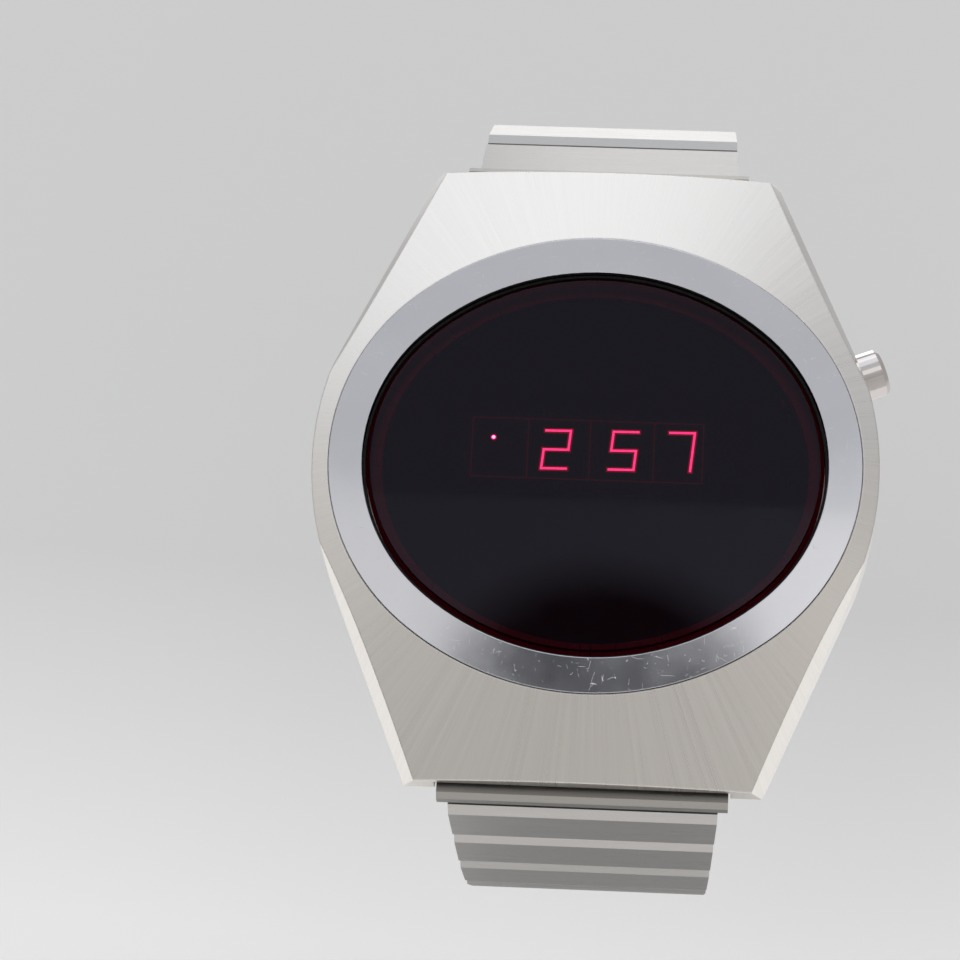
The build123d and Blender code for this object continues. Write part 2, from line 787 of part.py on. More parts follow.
def bar_link(end, pivot, slope, order, far_bore, name):
    """One full-width bar with bevelled long edges, narrower than the one before it."""
    plane = side_plane(end, pivot, slope)
    near = link_gap / 2
    far = link_pitch - near
    shoulder = link_face - link_bevel_fall
    tuck = knuckle_radius * tan(radians(link_side_relief))
    start_half = (link_start_width - order * link_taper) / 2
    stop_half = start_half - link_taper / 2
    with BuildPart() as link:
        with BuildSketch(plane):
            with BuildLine():
                Polyline(
                    (near, 0),
                    (near, shoulder),
                    (near + link_bevel_run, link_face),
                    (far - link_bevel_run, link_face),
                    (far, shoulder),
                    (far, 0),
                    (far - tuck, -knuckle_radius),
                    (near + tuck, -knuckle_radius),
                    close=True,
                )
            make_face()
        extrude(amount=start_half, both=True)
        with BuildSketch(Plane(plane.origin, x_dir=plane.x_dir, z_dir=plane.y_dir)):
            with BuildLine():
                Polyline(
                    (0, -start_half),
                    (link_pitch, -stop_half),
                    (link_pitch, stop_half),
                    (0, start_half),
                    close=True,
                )
            make_face()
        extrude(amount=link_face * 2, both=True, mode=Mode.INTERSECT)
        reliefs(plane, (0, 0), outer_spans)
        reliefs(plane, (link_pitch, 0), middle_span)
        round_bars(plane, (0, 0), knuckle_radius, middle_span)
        round_bars(plane, (link_pitch, 0), knuckle_radius, outer_spans)
        pin_bore(plane, (0, 0), pin_radius, outer_knuckle)
        pin_bore(plane, (link_pitch, 0), pin_radius, far_bore)
    write(link, name)


def bracelet_side(end, hour, slopes, last_bore):
    """An end link and its bars, each with its pin; returns the last pivot."""
    end_link(end, f"end_link_{hour}")
    pivot = (end * (bar_reach + end_pivot_out), bar_height - end_pivot_drop)
    for order, slope in enumerate(slopes):
        far_bore = last_bore if order + 1 == len(slopes) else outer_knuckle
        bar_link(end, pivot, slope, order, far_bore, f"link_{hour}_{order + 1}")
        plane = side_plane(end, pivot, slope)
        hinge_pin(plane, (0, 0), pin_radius, outer_knuckle, f"link_pin_{hour}_{order + 1}")
        y = pivot[0] + end * link_pitch * cos(radians(slope))
        z = pivot[1] - link_pitch * sin(radians(slope))
        pivot = (y, z)
    return pivot


clasp_far = bracelet_side(1, 12, slope_angles_12, link_start_width)
clasp_near = bracelet_side(-1, 6, slope_angles_6, outer_knuckle)

# Clasp: two blades folded under a cover, all on arcs about one centre
clasp_chord = dist(clasp_near, clasp_far)
clasp_slope = degrees(atan2(clasp_near[1] - clasp_far[1], clasp_near[0] - clasp_far[0]))
clasp_plane = side_plane(-1, clasp_near, clasp_slope)
clasp_radius = (clasp_chord**2 / 4 + clasp_rise**2) / (2 * clasp_rise)
clasp_half_angle = atan2(clasp_chord / 2, clasp_radius - clasp_rise)
clasp_length = 2 * clasp_radius * clasp_half_angle
last_half = (link_start_width - len(slope_angles_12) * link_taper) / 2
cover_inner = last_half + cover_side_gap
cover_low = cover_hinge_height + cover_gap
cover_high = cover_low + cover_thickness
inner_low = -knuckle_radius
inner_high = inner_low + blade_thickness
centre_low = inner_high + blade_gap
centre_high = centre_low + blade_thickness


def on_clasp(place, height):
    """A point at a distance along the clasp's curve and a height above it."""
    turn = place / clasp_radius - clasp_half_angle
    reach = clasp_radius + height
    return (clasp_chord / 2 + reach * sin(turn), clasp_rise - clasp_radius + reach * cos(turn))


def strip(start, stop, low, high, spans, mode=Mode.ADD):
    """A curved strip between two places and two heights, one for each span of the width."""
    middle = (start + stop) / 2
    for near, far in spans:
        with BuildSketch(clasp_plane.offset(near)) as bent:
            with BuildLine():
                ThreePointArc(on_clasp(start, low), on_clasp(middle, low), on_clasp(stop, low))
                Line(on_clasp(stop, low), on_clasp(stop, high))
                ThreePointArc(on_clasp(stop, high), on_clasp(middle, high), on_clasp(start, high))
                Line(on_clasp(start, high), on_clasp(start, low))
            make_face()
        extrude(bent.sketch, amount=far - near, mode=mode)


blade_span = [(-blade_half_width, blade_half_width)]
clasp_middle = [(-clasp_knuckle_half, clasp_knuckle_half)]
clasp_outer = [
    (-blade_half_width, -clasp_knuckle_half - knuckle_gap),
    (clasp_knuckle_half + knuckle_gap, blade_half_width),
]
middle_room = [(-clasp_knuckle_half - knuckle_gap / 2, clasp_knuckle_half + knuckle_gap / 2)]
fold_place = clasp_length - fold_hinge_setback
fold_hinge = on_clasp(fold_place, fold_hinge_height)
cover_hinge = on_clasp(cover_hinge_place, cover_hinge_height)
barrel_room = clasp_knuckle_radius + knuckle_relief * 2
barrel_bore = (clasp_knuckle_radius + knuckle_relief) * bore_spread

with BuildPart() as clasp_inner_blade:
    strip(knuckle_radius + knuckle_gap, fold_place - barrel_room, inner_low, inner_high, blade_span)
    strip(fold_place - barrel_room, fold_place, inner_low, inner_high, clasp_outer)
    strip(0, knuckle_radius + knuckle_gap, inner_low, inner_high, middle_span)
    round_bars(clasp_plane, (0, 0), knuckle_radius, middle_span)
    round_bars(clasp_plane, fold_hinge, clasp_knuckle_radius, clasp_outer)
    pin_bore(clasp_plane, (0, 0), pin_radius, outer_knuckle)
    pin_bore(clasp_plane, fold_hinge, pin_radius, blade_half_width)
write(clasp_inner_blade, "clasp_inner_blade")

with BuildPart() as clasp_centre_blade:
    strip(cover_hinge_place + barrel_room, fold_place - barrel_room, centre_low, centre_high, blade_span)
    strip(cover_hinge_place, fold_place, centre_low, centre_high, clasp_middle)
    round_bars(clasp_plane, cover_hinge, clasp_knuckle_radius, clasp_middle)
    round_bars(clasp_plane, fold_hinge, clasp_knuckle_radius, clasp_middle)
    pin_bore(clasp_plane, cover_hinge, pin_radius, blade_half_width)
    pin_bore(clasp_plane, fold_hinge, pin_radius, blade_half_width)
write(clasp_centre_blade, "clasp_centre_blade")

cover_outer = cover_inner + cover_wall
with BuildPart() as clasp_cover:
    cover_start = cover_hinge_place - clasp_knuckle_radius - knuckle_gap
    cover_stop = clasp_length - cover_open_end
    strip(cover_start, cover_stop, cover_low, cover_high, [(-cover_outer, cover_outer)])
    walls = [(-cover_outer, -cover_inner), (cover_inner, cover_outer)]
    strip(cover_start, clasp_length, cover_high - cover_wall_depth, cover_high, walls)
    round_bars(clasp_plane, (clasp_chord, 0), ear_radius, walls)
    long_edges = clasp_cover.edges().filter_by(GeomType.CIRCLE).filter_by(
        lambda e: abs(abs(e.center().X) - cover_outer) < seat_gap
        and abs(e.radius - clasp_radius - cover_high) < seat_gap
    )
    chamfer(long_edges, cover_edge_break)
    round_bars(clasp_plane, cover_hinge, clasp_knuckle_radius, clasp_outer)
    round_bars(clasp_plane, cover_hinge, barrel_bore, middle_room, Mode.SUBTRACT)
    strip(0, cover_hinge_place, centre_low, cover_high + overrun, middle_room, Mode.SUBTRACT)
    pin_bore(clasp_plane, cover_hinge, pin_radius, blade_half_width)
    pin_bore(clasp_plane, (clasp_chord, 0), clasp_bar_tip_radius, cover_outer)
write(clasp_cover, "clasp_cover")

hinge_pin(clasp_plane, (0, 0), pin_radius, outer_knuckle, "clasp_pin_inner")
hinge_pin(clasp_plane, fold_hinge, pin_radius, blade_half_width, "clasp_pin_fold")
hinge_pin(clasp_plane, cover_hinge, pin_radius, blade_half_width, "clasp_pin_cover")

# The clasp's spring bar rides in the last link and ends short of the cover's ears
with BuildPart() as clasp_spring_bar:
    tip = last_half + clasp_bar_tip_share * cover_side_gap
    round_bars(clasp_plane, (clasp_chord, 0), pin_radius, [(-outer_knuckle, outer_knuckle)])
    round_bars(clasp_plane, (clasp_chord, 0), clasp_bar_tip_radius, [(-tip, tip)])
write(clasp_spring_bar, "clasp_spring_bar")
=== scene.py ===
from math import cos, radians, sin

import bmesh
import bpy
from mathutils import Matrix, Vector


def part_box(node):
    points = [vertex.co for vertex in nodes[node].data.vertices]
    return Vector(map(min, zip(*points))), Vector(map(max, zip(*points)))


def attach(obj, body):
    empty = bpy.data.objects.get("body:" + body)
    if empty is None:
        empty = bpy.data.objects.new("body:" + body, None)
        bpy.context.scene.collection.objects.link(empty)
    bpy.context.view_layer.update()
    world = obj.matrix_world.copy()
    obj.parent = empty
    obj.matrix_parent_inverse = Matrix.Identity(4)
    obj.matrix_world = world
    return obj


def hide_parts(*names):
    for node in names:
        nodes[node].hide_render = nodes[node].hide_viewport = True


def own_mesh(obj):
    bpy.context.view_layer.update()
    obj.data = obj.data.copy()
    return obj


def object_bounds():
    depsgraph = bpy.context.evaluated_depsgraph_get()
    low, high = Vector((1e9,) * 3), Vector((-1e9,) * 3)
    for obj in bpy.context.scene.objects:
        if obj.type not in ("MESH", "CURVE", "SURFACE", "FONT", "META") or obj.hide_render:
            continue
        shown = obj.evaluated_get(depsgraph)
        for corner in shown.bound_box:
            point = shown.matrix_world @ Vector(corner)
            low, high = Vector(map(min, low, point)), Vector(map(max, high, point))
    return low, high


# Looks of the watch: finishes for each CAD node, the lit digits, the light and the camera.
# Lengths are in metres in the CAD's own frame, with MM for sizes written in millimetres.

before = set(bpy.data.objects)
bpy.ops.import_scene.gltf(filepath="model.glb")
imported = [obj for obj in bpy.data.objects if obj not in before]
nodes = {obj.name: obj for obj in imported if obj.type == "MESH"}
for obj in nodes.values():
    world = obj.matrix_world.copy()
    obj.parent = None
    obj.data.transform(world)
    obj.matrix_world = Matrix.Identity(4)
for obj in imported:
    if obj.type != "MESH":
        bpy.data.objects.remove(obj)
cad_low, cad_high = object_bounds()
MM = 0.001
RIGHT = Vector((1, 0, 0))
UP = Vector((0, 0, 1))

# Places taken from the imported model
ring_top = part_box("bezel_ring")[1].z
display_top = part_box("led_display")[1].z

# The floor lies below the clasp's cover where this hangs lowest, at a limit of its joints
clasp_drop = 25.5 * MM
floor_height = cad_low.z - clasp_drop
floor_reach = 3.0
floor_color = (0.76, 0.755, 0.745)

# The floor's glow, which is painted light: a stretch along an axis and the strengths at its two
# ends: painted light for the camera from front to back, and painted reflections, which only the
# metal shows, behind the watch and beside it
front_slant = 0.05
painted_front_light = (-21 * MM, 11 * MM, 0.33, 0.14)
painted_reflection_behind = (20 * MM, 70 * MM, 0.0, 1.5)
behind_width = (18 * MM, 38 * MM, 1.0, 0.0)
painted_reflection_beside = (0.0, 30 * MM, 0.48, 0.0)
beside_width = (10.5 * MM, 20 * MM, 0.0, 1.0)

# Camera, as in the photograph: leaning towards 6 o'clock and a little towards 3 o'clock
camera_distance = 295 * MM
camera_tilt = radians(17.4)
camera_lean = radians(1.6)
camera_roll = radians(2.0)
camera_lens = 160.1
camera_sensor = 36
camera_clip = 10 * MM
image_size = 960
ring_pixel = (594.7, 462.2)

# Cards above the watch, painted reflections that light nothing and cast no shadow: middle, half
# sizes, height, colour, strength and the rim's soft share
cards = {
    "pale_reflection_card": ((0, 0.09), (0.2, 0.09), 0.612, (1, 1, 1), 0.88, 0.0),
    "dark_reflection_card": ((-0.014, 0.138), (0.039, 0.03), 0.61, (0.88, 0.9, 1.0), 0.085, 0.35),
}

# A card's painted reflection is brighter towards 3 o'clock and a little darker near its far edge:
# stretches in its own frame, with the factors at their two ends
card_across = (-70 * MM, 40 * MM, 0.93, 1.12)
card_along = (60 * MM, 100 * MM, 1.05, 1.0)

# Lamps: place, two sizes, power and colour
lamps = {
    "lamp_back": ((-0.25, 0.75, 0.5), (1.1, 0.6), 0.88, (0.86, 0.92, 1)),
    "lamp_right": ((0.65, -0.25, 0.6), (0.6, 0.6), 0.3, (1, 0.96, 0.9)),
    "lamp_left": ((-0.7, 0.1, 0.6), (0.6, 0.9), 0.35, (1, 1, 1)),
}

# World: its colours in front and behind, then stretches of the ray's direction with the values
# at their two ends: the turn of colour, the dim patch in front, the far front and back, the sides
world_front = (1.0, 0.985, 0.975)
world_back = (0.93, 0.955, 1.0)
world_turn = (-0.2, 0.5, 0.0, 1.0)
dim_front = 0.35
dim_glow = (0.0, 0.6, 0.45, 0.68)
far_glow = (0.86, 1.0, 0.0, 0.88)
side_dimming = (0.4, 0.8, 0.0, 0.24)

# Digits: places, height, width and slant in the plane of the display
digit_middles = (-2.76 * MM, 1.94 * MM, 5.87 * MM)
digit_foot = 0.07 * MM
digit_height = 2.76 * MM
digit_width = 1.72 * MM
digit_lean = 0.29 * MM
digit_turn = radians(0.9)
stroke_width = 0.15 * MM
stroke_height = 0.02 * MM
stroke_taper = 0.97
stroke_floor = display_top + 0.035 * MM
glow_width = 0.36 * MM
glow_floor = display_top + 0.01 * MM
frame_edges = (-8.65 * MM, -4.76 * MM, -0.44 * MM, 4.02 * MM, 7.43 * MM)
frame_foot = -0.7 * MM
frame_head = 3.6 * MM
frame_line = 0.09 * MM
frame_rise = 0.005 * MM
dot_place = (-7.17 * MM, 2.17 * MM)
dot_radius = 0.12 * MM
dot_glow_radius = 0.22 * MM

# The seven strokes of a digit, as corners on a grid of three heights, and those that are lit
strokes = {
    "top": ((0, 2), (1, 2)),
    "upper_left": ((0, 1), (0, 2)),
    "upper_right": ((1, 1), (1, 2)),
    "middle": ((0, 1), (1, 1)),
    "lower_left": ((0, 0), (0, 1)),
    "lower_right": ((1, 0), (1, 1)),
    "foot": ((0, 0), (1, 0)),
}
lit = (
    ("top", "upper_right", "middle", "lower_left", "foot"),
    ("top", "upper_left", "middle", "lower_right", "foot"),
    ("top", "upper_right", "lower_right"),
)


def named(*starts):
    """The CAD nodes whose names start with one of these."""
    return [n for n in nodes if n.startswith(starts)]


# Metals, each with its colour, its roughness and the nodes that have it. The brush lines of the
# bracelet run across it, a little off X so that no face is square to them
bracelet_grain = (1, 0.2, 0.1)
bracelet_metals = {
    "link_steel": ((0.4, 0.39, 0.38), 0.3, named("link_12_", "link_6_")),
    # painted shade: the end links have the link steel painted darker
    "end_steel_shaded": ((0.28, 0.27, 0.255), 0.3, named("end_link_")),
    "cover_steel": ((0.74, 0.73, 0.71), 0.26, ["clasp_cover"]),
    "blade_steel": ((0.68, 0.68, 0.67), 0.22, ["clasp_inner_blade", "clasp_centre_blade"]),
}
polished_metals = {
    "pin_steel": ((0.62, 0.61, 0.6), 0.2, named("link_pin_", "clasp_pin_")),
    "bar_steel": ((0.6, 0.6, 0.6), 0.22, named("spring_bar_", "clasp_spring_bar")),
    "pusher_steel": ((0.68, 0.64, 0.62), 0.1, ["pusher"]),
    "bright_steel": ((0.7, 0.7, 0.7), 0.18, ["quartz_can", "pusher_clip", "pusher_spring"]),
    "blackened_steel": ((0.03, 0.03, 0.035), 0.4, ["module_screws"]),
    "cell_steel": ((0.72, 0.72, 0.71), 0.28, ["battery_cells"]),
    "contact_brass": ((0.78, 0.6, 0.28), 0.25, ["battery_strap", "contact_leaf"]),
}

# Rubber, plastics, resin and ceramic, in the same form
gaskets = ["crystal_gasket", "case_back_gasket", "pusher_seal"]
mouldings = {
    "black_rubber": ((0.004, 0.004, 0.004), 0.85, gaskets),
    "frame_plastic": ((0.03, 0.03, 0.03), 0.55, ["module_frame"]),
    "display_plastic": ((0.03, 0.004, 0.006), 0.3, ["led_display"]),
    "chip_resin": ((0.02, 0.02, 0.022), 0.5, ["controller_chip"]),
    "trimmer_ceramic": ((0.7, 0.65, 0.55), 0.5, ["trimmer"]),
}

# The case: above face_level a normal's height is the brushed face's, below side_level that of
# the brushed sides, and between them the polished bevels'
face_level = 0.9
side_level = 0.25
bevel_roughness = 0.09
case_relief = 0.06
case_edge = 0.16 * MM
ring_edge = 0.08 * MM

# Where soft noise mostly lies
noise_low = 0.3
noise_high = 0.7


def put(tree, kind, inputs=None, **settings):
    """Adds a shader node, with its settings and its inputs as values or as links."""
    made = tree.nodes.new(f"ShaderNode{kind}")
    for key, value in settings.items():
        setattr(made, key, value)
    for key, value in (inputs or {}).items():
        if isinstance(value, bpy.types.NodeSocket):
            tree.links.new(value, made.inputs[key])
        else:
            made.inputs[key].default_value = value
    return made


def math_node(tree, operation, first, second=0.0, third=0.0):
    """One sum on two or three numbers."""
    return put(tree, "Math", {0: first, 1: second, 2: third}, operation=operation).outputs[0]


def vector_node(tree, operation, first, second=(0, 0, 0)):
    """One sum on two vectors, with a vector as its result."""
    return put(tree, "VectorMath", {0: first, 1: second}, operation=operation).outputs[0]


def spread(tree, value, low, high, to_low, to_high):
    """Maps a number from one range to another, kept within it."""
    inputs = {
        "Value": value,
        "From Min": low,
        "From Max": high,
        "To Min": to_low,
        "To Max": to_high,
    }
    return put(tree, "MapRange", inputs).outputs["Result"]


def varied(tree, amount, low, high):
    """Maps soft noise to a range."""
    return spread(tree, amount, noise_low, noise_high, low, high)


def parts_of(tree, vector):
    """The X, Y and Z of a vector."""
    return put(tree, "SeparateXYZ", {0: vector}).outputs


def place_in(tree):
    """The point on the piece, in its own frame."""
    return put(tree, "TexCoord").outputs["Object"]


def noise(tree, vector, scale, detail=2.0, roughness=0.5):
    """Soft noise, as a number about one half."""
    inputs = {"Vector": vector, "Scale": scale, "Detail": detail, "Roughness": roughness}
    return put(tree, "TexNoise", inputs).outputs["Fac"]


def between(tree, amount, first, second):
    """A colour between two others, by a number from 0 to 1."""
    inputs = {0: amount, 6: (*first, 1), 7: (*second, 1)}
    return put(tree, "Mix", inputs, data_type="RGBA").outputs[2]


def new_material(name, color, metallic=0.0, roughness=0.5, **sockets):
    """A Principled material, its tree and its shader."""
    material = bpy.data.materials.new(name)
    material.use_nodes = True
    tree = material.node_tree
    shader = tree.nodes["Principled BSDF"]
    shader.inputs["Base Color"].default_value = (*color, 1)
    shader.inputs["Metallic"].default_value = metallic
    shader.inputs["Roughness"].default_value = roughness
    for key, value in sockets.items():
        shader.inputs[key.replace("_", " ")].default_value = value
    return material, tree, shader


def tinted(tree, shader, color, amount, depth):
    """Colour that varies by a share with a number about one half."""
    dark = tuple(c * (1 - depth) for c in color)
    light = tuple(min(c * (1 + depth), 1) for c in color)
    tree.links.new(between(tree, amount, dark, light), shader.inputs["Base Color"])


def bumped(tree, shader, height, strength, distance):
    """Relief on the surface."""
    bump = put(tree, "Bump", {"Height": height, "Strength": strength, "Distance": distance})
    tree.links.new(bump.outputs["Normal"], shader.inputs["Normal"])
    return bump


def soft_edges(tree, bump, radius):
    """Rounds the shading at sharp edges, as wear does."""
    rounded = put(tree, "Bevel", {"Radius": radius}, samples=4)
    tree.links.new(rounded.outputs["Normal"], bump.inputs["Normal"])


def scratches(tree, vector, scale, width=0.003):
    """Thin broken hairlines, one on the line and nothing off it."""
    line = noise(tree, vector, scale, detail=1.0)
    off = math_node(tree, "ABSOLUTE", math_node(tree, "SUBTRACT", line, 0.5))
    hair = spread(tree, off, 0.0, width, 1.0, 0.0)
    patch = spread(tree, noise(tree, vector, scale * 2.3), 0.56, 0.62, 0.0, 1.0)
    return math_node(tree, "MULTIPLY", hair, patch)


def about_middle(tree, around, outward):
    """Noise coordinates about the middle: fast around it they give lines that leave it, and
    fast outward they give circles."""
    flat = vector_node(tree, "MULTIPLY", place_in(tree), (1, 1, 0))
    length = put(tree, "VectorMath", {0: flat}, operation="LENGTH").outputs["Value"]
    unit = vector_node(tree, "NORMALIZE", flat)
    wide = vector_node(tree, "MULTIPLY", unit, (around, around, around))
    lift = put(tree, "CombineXYZ", {"Z": math_node(tree, "MULTIPLY", length, outward)})
    return vector_node(tree, "ADD", wide, lift.outputs[0])


def face_lines(tree):
    """Lines that leave the middle of the case's face."""
    return about_middle(tree, 230, 100)


def back_lines(tree):
    """Circles about the middle of the case back."""
    return about_middle(tree, 12, 12000)


def along_x(tree):
    """Lines along X."""
    return vector_node(tree, "MULTIPLY", place_in(tree), (500, 14000, 14000))


def brushed(name, color, lines, roughness, depth=0.08, grain=None):
    """Brushed steel: fine and wide streaks along the lines that the coordinates give."""
    material, tree, shader = new_material(name, color, 1.0, roughness, Anisotropic=0.6)
    fine = noise(tree, lines(tree), 1.0, detail=3.0, roughness=0.65)
    wide = noise(tree, lines(tree), 0.3)
    wide_share = math_node(tree, "MULTIPLY", wide, 0.4)
    streak = math_node(tree, "MULTIPLY_ADD", fine, 0.6, wide_share)
    tinted(tree, shader, color, varied(tree, streak, 0.0, 1.0), depth)
    rough = varied(tree, streak, roughness * 0.8, roughness * 1.25)
    tree.links.new(rough, shader.inputs["Roughness"])
    bumped(tree, shader, streak, strength=0.12, distance=0.02 * MM)
    if grain is None:
        tangent = put(tree, "Tangent", direction_type="RADIAL", axis="Z").outputs[0]
    else:
        normal = put(tree, "NewGeometry").outputs["Normal"]
        tangent = vector_node(tree, "CROSS_PRODUCT", normal, grain)
    tree.links.new(tangent, shader.inputs["Tangent"])
    return material, tree, shader


def case_steel():
    """The case: radially brushed face, polished bevels and brushed sides."""
    color = (0.825, 0.79, 0.745)
    material, tree, shader = brushed("case_steel", color, face_lines, 0.3, depth=0.05)
    height = parts_of(tree, put(tree, "NewGeometry").outputs["True Normal"])["Z"]
    face = math_node(tree, "GREATER_THAN", height, face_level)
    side = math_node(tree, "LESS_THAN", height, side_level)
    brushed_part = math_node(tree, "ADD", face, side)
    brushed_rough = shader.inputs["Roughness"].links[0].from_socket
    more = math_node(tree, "SUBTRACT", brushed_rough, bevel_roughness)
    rough = math_node(tree, "MULTIPLY_ADD", brushed_part, more, bevel_roughness)
    tree.links.new(rough, shader.inputs["Roughness"])
    bump = shader.inputs["Normal"].links[0].from_node
    relief = math_node(tree, "MULTIPLY", brushed_part, case_relief)
    tree.links.new(relief, bump.inputs["Strength"])
    soft_edges(tree, bump, case_edge)
    return material


def ring_steel():
    """The bezel ring: polished, with hairline scratches and faint smears."""
    color = (0.66, 0.66, 0.69)
    material, tree, shader = new_material("ring_steel", color, metallic=1.0, roughness=0.1)
    place = place_in(tree)
    smear = noise(tree, place, 180.0, detail=3.0)
    marks = scratches(tree, vector_node(tree, "MULTIPLY", place, (1.0, 0.35, 1.0)), 1500.0)
    more = scratches(tree, vector_node(tree, "MULTIPLY", place, (0.4, 1.0, 1.0)), 1100.0)
    marks = math_node(tree, "MAXIMUM", marks, more)
    lighter = math_node(tree, "MULTIPLY_ADD", marks, 0.9, smear)
    tinted(tree, shader, color, lighter, 0.06)
    rough = math_node(tree, "MULTIPLY_ADD", marks, 0.25, varied(tree, smear, 0.05, 0.1))
    tree.links.new(rough, shader.inputs["Roughness"])
    bump = bumped(tree, shader, marks, strength=0.15, distance=-0.01 * MM)
    soft_edges(tree, bump, ring_edge)
    return material


def polished(name, color, roughness):
    """Plain polished metal with soft wear."""
    material, tree, shader = new_material(name, color, 1.0, roughness)
    wear = noise(tree, place_in(tree), 900.0, detail=4.0)
    tinted(tree, shader, color, wear, 0.05)
    rough = varied(tree, wear, roughness * 0.7, roughness * 1.6)
    tree.links.new(rough, shader.inputs["Roughness"])
    bumped(tree, shader, noise(tree, place_in(tree), 3500.0), strength=0.05, distance=0.01 * MM)
    return material


def moulded(name, color, roughness):
    """Moulded plastic, rubber, resin or ceramic with a fine grain."""
    material, tree, shader = new_material(name, color, 0.0, roughness)
    tinted(tree, shader, color, noise(tree, place_in(tree), 300.0, detail=3.0), 0.12)
    fine = noise(tree, place_in(tree), 4000.0)
    rough = varied(tree, fine, roughness * 0.85, roughness * 1.15)
    tree.links.new(rough, shader.inputs["Roughness"])
    bumped(tree, shader, fine, strength=0.15, distance=0.02 * MM)
    return material


def filter_glass():
    """The crystal: dark red filter glass, nearly black from outside, with faint dust."""
    color = (0.15, 0.013, 0.03)
    material, tree, shader = new_material(
        "filter_glass", color, roughness=0.02, IOR=1.335, Transmission_Weight=1.0
    )
    shader.inputs["Specular Tint"].default_value = (0.7, 0.77, 1.0, 1)
    dust = noise(tree, place_in(tree), 500.0, detail=4.0)
    tree.links.new(spread(tree, dust, 0.35, 0.7, 0.012, 0.05), shader.inputs["Roughness"])
    return material


def glowing(name, color, strength):
    """A lit stroke or dot, or the painted glow of an outline, made uneven by a soft grain."""
    material, tree, shader = new_material(name, (0.2, 0.01, 0.03), roughness=0.4)
    shader.inputs["Emission Color"].default_value = (*color, 1)
    grain = noise(tree, place_in(tree), 9000.0)
    glow = varied(tree, grain, strength * 0.85, strength * 1.15)
    tree.links.new(glow, shader.inputs["Emission Strength"])
    return material


def board_resin():
    """The circuit board: green laminate with a weave."""
    color = (0.02, 0.1, 0.04)
    material, tree, shader = new_material("board_resin", color, roughness=0.35)
    weave = put(tree, "TexChecker", {"Vector": place_in(tree), "Scale": 2500.0}).outputs["Fac"]
    tinted(tree, shader, color, weave, 0.15)
    rough = varied(tree, noise(tree, place_in(tree), 1500.0), 0.28, 0.42)
    tree.links.new(rough, shader.inputs["Roughness"])
    bumped(tree, shader, weave, strength=0.1, distance=0.01 * MM)
    return material


def dress(names, material):
    """Gives CAD nodes a material."""
    for name in names:
        slots = nodes[name].material_slots
        if not slots:
            nodes[name].data.materials.append(material)
        for place in slots:
            place.material = material


def finish_nodes():
    """Every CAD node gets its finish."""
    dress(["mid_case"], case_steel())
    dress(["bezel_ring"], ring_steel())
    dress(["crystal"], filter_glass())
    dress(["circuit_board"], board_resin())
    dress(["case_back"], brushed("back_steel", (0.7, 0.7, 0.69), back_lines, 0.3)[0])
    for name, (color, roughness, names) in bracelet_metals.items():
        dress(names, brushed(name, color, along_x, roughness, grain=bracelet_grain)[0])
    for name, (color, roughness, names) in polished_metals.items():
        dress(names, polished(name, color, roughness))
    for name, (color, roughness, names) in mouldings.items():
        dress(names, moulded(name, color, roughness))


def return_spring():
    """The pusher's spring between the case and the pusher, as its own copy that rides on the head
    body.
    """
    piece = bpy.data.objects.new("return_spring", nodes["pusher_spring"].data.copy())
    bpy.context.scene.collection.objects.link(piece)
    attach(piece, "head")
    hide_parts("pusher_spring")
    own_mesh(piece)


def bar_mesh(mesh, start, end, width, height, floor):
    """A flat stroke between two points, square at its ends and a little smaller at its top."""
    start, end = Vector((*start, floor)), Vector((*end, floor))
    along = (end - start).normalized() * width / 2
    side = UP.cross(along)
    outline = [start - along - side, end + along - side, end + along + side, start - along + side]
    foot = [mesh.verts.new(p) for p in outline]
    middle = (start + end) / 2
    top = [mesh.verts.new(middle + (p - middle) * stroke_taper + UP * height) for p in outline]
    mesh.faces.new(reversed(foot))
    mesh.faces.new(top)
    count = len(outline)
    for k in range(count):
        mesh.faces.new((foot[k], foot[(k + 1) % count], top[(k + 1) % count], top[k]))


def made(name, mesh, material, body="head", smooth=False):
    """Turns mesh code into a piece that rides on a body."""
    bmesh.ops.recalc_face_normals(mesh, faces=mesh.faces)
    data = bpy.data.meshes.new(name)
    mesh.to_mesh(data)
    mesh.free()
    for face in data.polygons:
        face.use_smooth = smooth
    data.materials.append(material)
    piece = bpy.data.objects.new(name, data)
    bpy.context.scene.collection.objects.link(piece)
    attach(piece, body)
    return piece


def digit_corner(middle, corner):
    """A corner of a digit in the plane of the display."""
    across, up = corner
    x = (across - 0.5) * digit_width + (up - 1) * digit_lean / 2
    y = digit_foot + up * digit_height / 2
    turned = Matrix.Rotation(digit_turn, 2) @ Vector((middle + x, y))
    return turned.x, turned.y


def digits():
    """The lit strokes, one piece for each digit, over a wider and fainter glow."""
    layers = (
        ("digit", stroke_width, stroke_floor, glowing("lit_red", (1.0, 0.42, 1.0), 9.0)),
        ("digit_glow", glow_width, glow_floor, glowing("glow_red", (1.0, 0.12, 0.3), 0.9)),
    )
    for name, width, floor, material in layers:
        for order, (middle, parts) in enumerate(zip(digit_middles, lit)):
            mesh = bmesh.new()
            for part in parts:
                start, end = (digit_corner(middle, c) for c in strokes[part])
                bar_mesh(mesh, start, end, width, stroke_height, floor)
            piece = made(f"{name}_{order + 1}", mesh, material)


def frames():
    """Faint outlines round the places of the digits, given a faint painted glow, though they are
    no lamp.
    """
    mesh = bmesh.new()
    for edge in frame_edges:
        bar_mesh(mesh, (edge, frame_foot), (edge, frame_head), frame_line, frame_rise, display_top)
    for height in (frame_foot, frame_head):
        ends = ((frame_edges[0], height), (frame_edges[-1], height))
        bar_mesh(mesh, *ends, frame_line, frame_rise, display_top)
    piece = made("digit_frames", mesh, glowing("faint_painted_glow", (1.0, 0.3, 0.5), 0.13))


